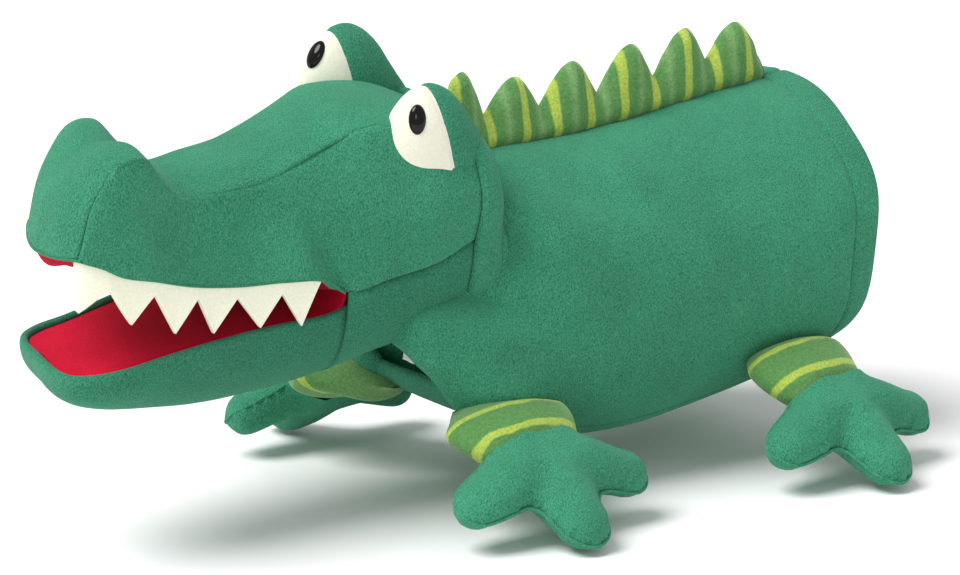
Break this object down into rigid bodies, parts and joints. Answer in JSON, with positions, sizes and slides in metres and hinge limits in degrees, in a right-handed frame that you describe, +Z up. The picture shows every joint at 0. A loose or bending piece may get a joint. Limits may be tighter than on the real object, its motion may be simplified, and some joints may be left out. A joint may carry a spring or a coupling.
{
  "type": "hand puppet",
  "caption": "Plush crocodile hand puppet with a sleeve body open at the rear, an opening mouth with felt teeth, bulging eyes, striped spiked crest and jointed soft legs.",
  "frame": {"origin": "centre of the bounding box on the surface that the paws stand on", "axes": "+X forward to the snout, +Y to the puppet's left, +Z up"},
  "size_m": [0.4066, 0.2536, 0.1982],
  "materials": {
    "plush_green": "short-pile velour plush",
    "hem_green": "short-pile velour plush, folded hem",
    "paw_green": "short-pile velour plush",
    "striped_velour": "striped velour in two greens and yellow",
    "mouth_red": "short red velour",
    "felt_cream": "pressed felt",
    "pupil_black": "polished",
    "washer_clear": "plain moulded",
    "lining_green": "plain woven lining",
    "mouth_board": "flexible sheet",
    "label_satin": "blank woven satin",
    "filling_white": "polyester wadding"
  },
  "bodies": {
    "body": {"body_side_left": "plush_green", "body_side_right": "plush_green", "belly_panel": "plush_green", "chest_panel": "plush_green", "neck_yoke": "plush_green", "rear_hem": "hem_green", "body_wadding": "filling_white", "body_lining": "lining_green", "dorsal_crest": "striped_velour", "care_label": "label_satin"},
    "neck_base": {"neck_sleeve": "plush_green"},
    "neck_tube": {"neck_lining": "lining_green"},
    "head": {"head_gusset": "plush_green", "head_side_left": "plush_green", "head_side_right": "plush_green", "head_back": "plush_green", "eye_white_left": "felt_cream", "eye_white_right": "felt_cream", "eye_back_left": "plush_green", "eye_back_right": "plush_green", "eye_stuffing_left": "filling_white", "eye_stuffing_right": "filling_white", "pupil_left": "pupil_black", "pupil_right": "pupil_black", "eye_washer_left": "washer_clear", "eye_washer_right": "washer_clear", "palate_lining": "mouth_red", "upper_mouth_board": "mouth_board", "mouth_fold": "mouth_red", "teeth_left": "felt_cream", "teeth_right": "felt_cream", "head_stuffing": "filling_white", "finger_pocket": "lining_green", "throat_panel": "plush_green"},
    "lower_jaw": {"chin_panel": "plush_green", "tongue_lining": "mouth_red", "lower_mouth_board": "mouth_board", "jaw_stuffing": "filling_white", "thumb_pocket": "lining_green"},
    "leg_front_left": {"leg_sleeve_front_left": "striped_velour", "leg_stuffing_front_left": "filling_white"},
    "paw_front_left": {"paw_top_front_left": "paw_green", "paw_sole_front_left": "paw_green", "paw_stuffing_front_left": "filling_white"},
    "leg_front_right": {"leg_sleeve_front_right": "striped_velour", "leg_stuffing_front_right": "filling_white"},
    "paw_front_right": {"paw_top_front_right": "paw_green", "paw_sole_front_right": "paw_green", "paw_stuffing_front_right": "filling_white"},
    "leg_rear_left": {"leg_sleeve_rear_left": "striped_velour", "leg_stuffing_rear_left": "filling_white"},
    "paw_rear_left": {"paw_top_rear_left": "paw_green", "paw_sole_rear_left": "paw_green", "paw_stuffing_rear_left": "filling_white"},
    "leg_rear_right": {"leg_sleeve_rear_right": "striped_velour", "leg_stuffing_rear_right": "filling_white"},
    "paw_rear_right": {"paw_top_rear_right": "paw_green", "paw_sole_rear_right": "paw_green", "paw_stuffing_rear_right": "filling_white"}
  },
  "joints": [
    {"name": "head_turn", "type": "hinge", "parent": "body", "child": "neck_base", "pos_m": [-0.00567, 0, 0.111], "axis": [0, 0, 1], "range_deg": [-15, 15], "deforming": ["neck_sleeve"]},
    {"name": "head_nod", "type": "hinge", "parent": "neck_base", "child": "neck_tube", "pos_m": [-0.00567, 0, 0.111], "axis": [0, 1, 0], "range_deg": [-10, 11]},
    {"name": "head_tilt", "type": "hinge", "parent": "neck_tube", "child": "head", "pos_m": [-0.00567, 0, 0.111], "axis": [1, 0, 0], "range_deg": [-12, 12]},
    {"name": "jaw_open", "type": "hinge", "parent": "head", "child": "lower_jaw", "pos_m": [0.06933, -0.00097, 0.10807], "axis": [0, 0.9903, -0.1392], "range_deg": [-18, 24], "deforming": ["throat_panel", "mouth_fold"]},
    {"name": "hip_front_left", "type": "hinge", "parent": "body", "child": "leg_front_left", "pos_m": [0.00333, 0.056, 0.0425], "axis": [1, 0, 0], "range_deg": [-20, 30]},
    {"name": "ankle_front_left", "type": "hinge", "parent": "leg_front_left", "child": "paw_front_left", "pos_m": [0.00333, 0.078, 0.033], "axis": [1, 0, 0], "range_deg": [-25, 25]},
    {"name": "hip_front_right", "type": "hinge", "parent": "body", "child": "leg_front_right", "pos_m": [0.00333, -0.056, 0.0425], "axis": [-1, 0, 0], "range_deg": [-20, 30]},
    {"name": "ankle_front_right", "type": "hinge", "parent": "leg_front_right", "child": "paw_front_right", "pos_m": [0.00333, -0.078, 0.033], "axis": [-1, 0, 0], "range_deg": [-25, 25]},
    {"name": "hip_rear_left", "type": "hinge", "parent": "body", "child": "leg_rear_left", "pos_m": [-0.14967, 0.06, 0.047], "axis": [0.9925, 0.1219, 0], "range_deg": [-20, 30]},
    {"name": "ankle_rear_left", "type": "hinge", "parent": "leg_rear_left", "child": "paw_rear_left", "pos_m": [-0.15259, 0.08382, 0.0335], "axis": [0.9925, 0.1219, 0], "range_deg": [-25, 25]},
    {"name": "hip_rear_right", "type": "hinge", "parent": "body", "child": "leg_rear_right", "pos_m": [-0.14967, -0.06, 0.047], "axis": [-0.9925, 0.1219, 0], "range_deg": [-20, 30]},
    {"name": "ankle_rear_right", "type": "hinge", "parent": "leg_rear_right", "child": "paw_rear_right", "pos_m": [-0.15259, -0.08382, 0.0335], "axis": [-0.9925, 0.1219, 0], "range_deg": [-25, 25]}
  ]
}
